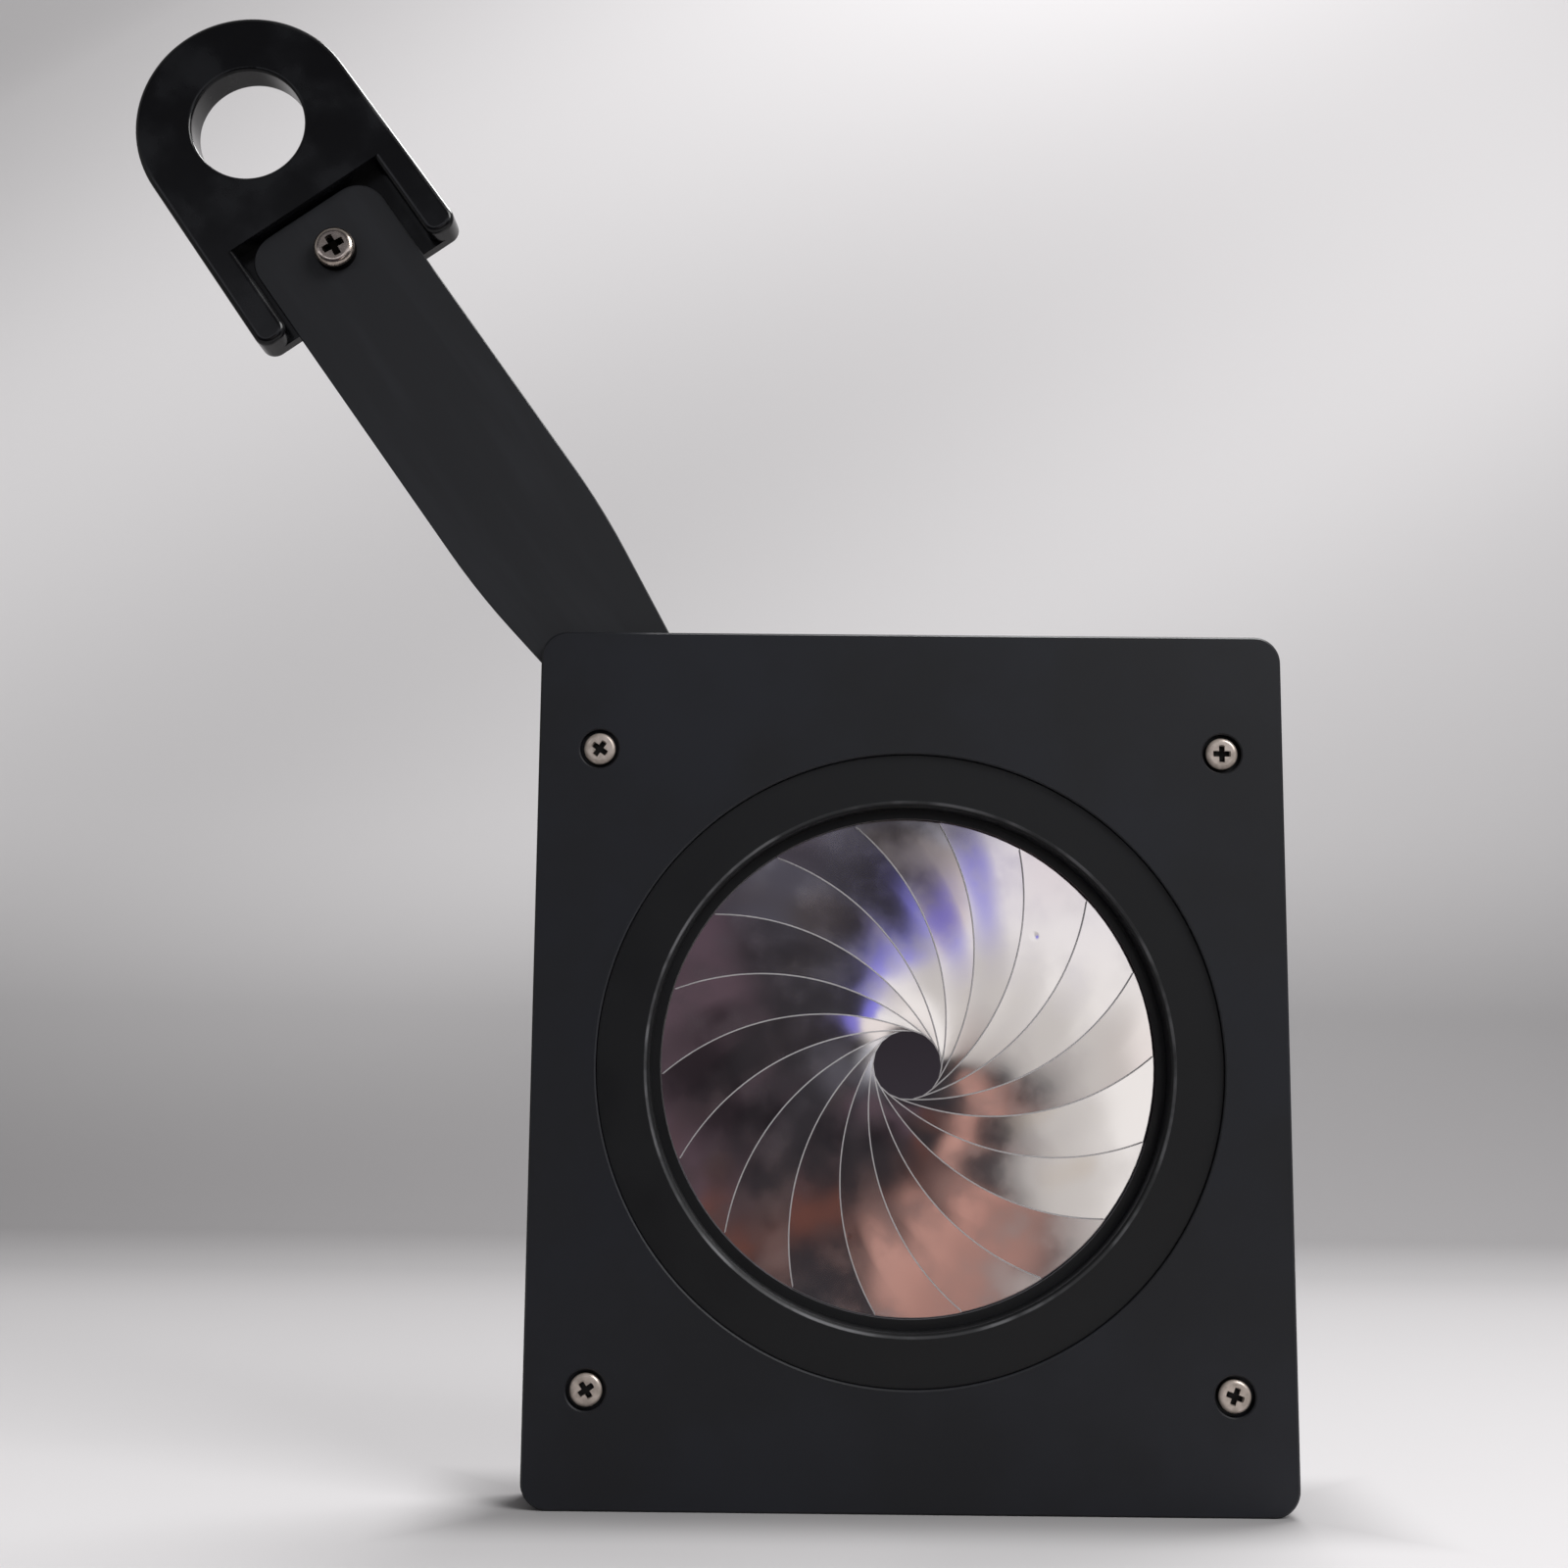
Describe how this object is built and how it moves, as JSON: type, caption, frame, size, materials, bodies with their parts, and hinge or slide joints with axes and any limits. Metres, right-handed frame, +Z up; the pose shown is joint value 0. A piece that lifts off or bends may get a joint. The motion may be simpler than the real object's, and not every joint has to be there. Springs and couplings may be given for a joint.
{
  "type": "iris diaphragm",
  "caption": "Lever-operated iris diaphragm: overlapping steel leaves between two square-cornered plates, opened by a drive ring with a long arm and a finger-hole grip.",
  "frame": {"origin": "on the optical axis, at the rear face of the rear plate", "axes": "+Y out of the rear window along the optical axis, front of the diaphragm toward -Y, +Z up the long side of the plates, +X to the right seen from the front"},
  "size_m": [0.2192, 0.0148, 0.2797],
  "materials": {
    "plate_black": "satin black powder coat",
    "ring_black": "satin black anodised aluminium",
    "spacer_black": "satin black",
    "arm_black": "matte black sheet metal",
    "leaf_steel": "polished spring steel",
    "stud_steel": "turned steel",
    "pillar_steel": "turned steel",
    "screw_nickel": "nickel-plated steel",
    "arm_screw_steel": "blackened steel",
    "nut_steel": "zinc-plated steel",
    "grip_plastic": "glossy black moulding"
  },
  "bodies": {
    "housing": {"rear_plate": "plate_black", "front_plate": "plate_black", "spacer_frame": "spacer_black", "stop_spacer_left": "pillar_steel", "stop_spacer_right": "pillar_steel", "cover_screw_1": "screw_nickel", "cover_screw_2": "screw_nickel", "cover_screw_3": "screw_nickel", "cover_screw_4": "screw_nickel"},
    "lever": {"drive_ring": "ring_black", "lever_arm": "arm_black", "arm_screw_1": "arm_screw_steel", "arm_screw_2": "arm_screw_steel", "arm_screw_3": "arm_screw_steel", "grip": "grip_plastic", "grip_nut": "nut_steel", "grip_screw": "screw_nickel"},
    "blade_01": {"leaf_01": "leaf_steel", "leaf_studs_01": "stud_steel"},
    "blade_02": {"leaf_02": "leaf_steel", "leaf_studs_02": "stud_steel"},
    "blade_03": {"leaf_03": "leaf_steel", "leaf_studs_03": "stud_steel"},
    "blade_04": {"leaf_04": "leaf_steel", "leaf_studs_04": "stud_steel"},
    "blade_05": {"leaf_05": "leaf_steel", "leaf_studs_05": "stud_steel"},
    "blade_06": {"leaf_06": "leaf_steel", "leaf_studs_06": "stud_steel"},
    "blade_07": {"leaf_07": "leaf_steel", "leaf_studs_07": "stud_steel"},
    "blade_08": {"leaf_08": "leaf_steel", "leaf_studs_08": "stud_steel"},
    "blade_09": {"leaf_09": "leaf_steel", "leaf_studs_09": "stud_steel"},
    "blade_10": {"leaf_10": "leaf_steel", "leaf_studs_10": "stud_steel"},
    "blade_11": {"leaf_11": "leaf_steel", "leaf_studs_11": "stud_steel"},
    "blade_12": {"leaf_12": "leaf_steel", "leaf_studs_12": "stud_steel"},
    "blade_13": {"leaf_13": "leaf_steel", "leaf_studs_13": "stud_steel"},
    "blade_14": {"leaf_14": "leaf_steel", "leaf_studs_14": "stud_steel"},
    "blade_15": {"leaf_15": "leaf_steel", "leaf_studs_15": "stud_steel"},
    "blade_16": {"leaf_16": "leaf_steel", "leaf_studs_16": "stud_steel"},
    "blade_17": {"leaf_17": "leaf_steel", "leaf_studs_17": "stud_steel"},
    "blade_18": {"leaf_18": "leaf_steel", "leaf_studs_18": "stud_steel"}
  },
  "joints": [
    {"name": "lever_turn", "type": "hinge", "parent": "housing", "child": "lever", "pos_m": [0, 0, 0], "axis": [0, 1, 0], "range_deg": [0, 72]},
    {"name": "leaf_turn_01", "type": "hinge", "parent": "housing", "child": "blade_01", "pos_m": [0.01175, -0.003, 0.06088], "axis": [0, 1, 0], "range_deg": [0, 36.5]},
    {"name": "leaf_turn_02", "type": "hinge", "parent": "housing", "child": "blade_02", "pos_m": [-0.00978, -0.003, 0.06122], "axis": [0, 1, 0], "range_deg": [0, 36.5]},
    {"name": "leaf_turn_03", "type": "hinge", "parent": "housing", "child": "blade_03", "pos_m": [-0.03013, -0.003, 0.05418], "axis": [0, 1, 0], "range_deg": [0, 36.5]},
    {"name": "leaf_turn_04", "type": "hinge", "parent": "housing", "child": "blade_04", "pos_m": [-0.04685, -0.003, 0.04061], "axis": [0, 1, 0], "range_deg": [0, 36.5]},
    {"name": "leaf_turn_05", "type": "hinge", "parent": "housing", "child": "blade_05", "pos_m": [-0.05791, -0.003, 0.02214], "axis": [0, 1, 0], "range_deg": [0, 36.5]},
    {"name": "leaf_turn_06", "type": "hinge", "parent": "housing", "child": "blade_06", "pos_m": [-0.06199, -0.003, 0.001], "axis": [0, 1, 0], "range_deg": [0, 36.5]},
    {"name": "leaf_turn_07", "type": "hinge", "parent": "housing", "child": "blade_07", "pos_m": [-0.05859, -0.003, -0.02027], "axis": [0, 1, 0], "range_deg": [0, 36.5]},
    {"name": "leaf_turn_08", "type": "hinge", "parent": "housing", "child": "blade_08", "pos_m": [-0.04813, -0.003, -0.03909], "axis": [0, 1, 0], "range_deg": [0, 36.5]},
    {"name": "leaf_turn_09", "type": "hinge", "parent": "housing", "child": "blade_09", "pos_m": [-0.03186, -0.003, -0.05319], "axis": [0, 1, 0], "range_deg": [0, 36.5]},
    {"name": "leaf_turn_10", "type": "hinge", "parent": "housing", "child": "blade_10", "pos_m": [-0.01175, -0.003, -0.06088], "axis": [0, 1, 0], "range_deg": [0, 36.5]},
    {"name": "leaf_turn_11", "type": "hinge", "parent": "housing", "child": "blade_11", "pos_m": [0.00978, -0.003, -0.06122], "axis": [0, 1, 0], "range_deg": [0, 36.5]},
    {"name": "leaf_turn_12", "type": "hinge", "parent": "housing", "child": "blade_12", "pos_m": [0.03013, -0.003, -0.05418], "axis": [0, 1, 0], "range_deg": [0, 36.5]},
    {"name": "leaf_turn_13", "type": "hinge", "parent": "housing", "child": "blade_13", "pos_m": [0.04685, -0.003, -0.04061], "axis": [0, 1, 0], "range_deg": [0, 36.5]},
    {"name": "leaf_turn_14", "type": "hinge", "parent": "housing", "child": "blade_14", "pos_m": [0.05791, -0.003, -0.02214], "axis": [0, 1, 0], "range_deg": [0, 36.5]},
    {"name": "leaf_turn_15", "type": "hinge", "parent": "housing", "child": "blade_15", "pos_m": [0.06199, -0.003, -0.001], "axis": [0, 1, 0], "range_deg": [0, 36.5]},
    {"name": "leaf_turn_16", "type": "hinge", "parent": "housing", "child": "blade_16", "pos_m": [0.05859, -0.003, 0.02027], "axis": [0, 1, 0], "range_deg": [0, 36.5]},
    {"name": "leaf_turn_17", "type": "hinge", "parent": "housing", "child": "blade_17", "pos_m": [0.04813, -0.003, 0.03909], "axis": [0, 1, 0], "range_deg": [0, 36.5]},
    {"name": "leaf_turn_18", "type": "hinge", "parent": "housing", "child": "blade_18", "pos_m": [0.03186, -0.003, 0.05319], "axis": [0, 1, 0], "range_deg": [0, 36.5]}
  ],
  "couplings": [
    {"joint": "leaf_turn_01", "follows": "lever_turn", "ratio": 0.5},
    {"joint": "leaf_turn_02", "follows": "lever_turn", "ratio": 0.5},
    {"joint": "leaf_turn_03", "follows": "lever_turn", "ratio": 0.5},
    {"joint": "leaf_turn_04", "follows": "lever_turn", "ratio": 0.5},
    {"joint": "leaf_turn_05", "follows": "lever_turn", "ratio": 0.5},
    {"joint": "leaf_turn_06", "follows": "lever_turn", "ratio": 0.5},
    {"joint": "leaf_turn_07", "follows": "lever_turn", "ratio": 0.5},
    {"joint": "leaf_turn_08", "follows": "lever_turn", "ratio": 0.5},
    {"joint": "leaf_turn_09", "follows": "lever_turn", "ratio": 0.5},
    {"joint": "leaf_turn_10", "follows": "lever_turn", "ratio": 0.5},
    {"joint": "leaf_turn_11", "follows": "lever_turn", "ratio": 0.5},
    {"joint": "leaf_turn_12", "follows": "lever_turn", "ratio": 0.5},
    {"joint": "leaf_turn_13", "follows": "lever_turn", "ratio": 0.5},
    {"joint": "leaf_turn_14", "follows": "lever_turn", "ratio": 0.5},
    {"joint": "leaf_turn_15", "follows": "lever_turn", "ratio": 0.5},
    {"joint": "leaf_turn_16", "follows": "lever_turn", "ratio": 0.5},
    {"joint": "leaf_turn_17", "follows": "lever_turn", "ratio": 0.5},
    {"joint": "leaf_turn_18", "follows": "lever_turn", "ratio": 0.5}
  ]
}
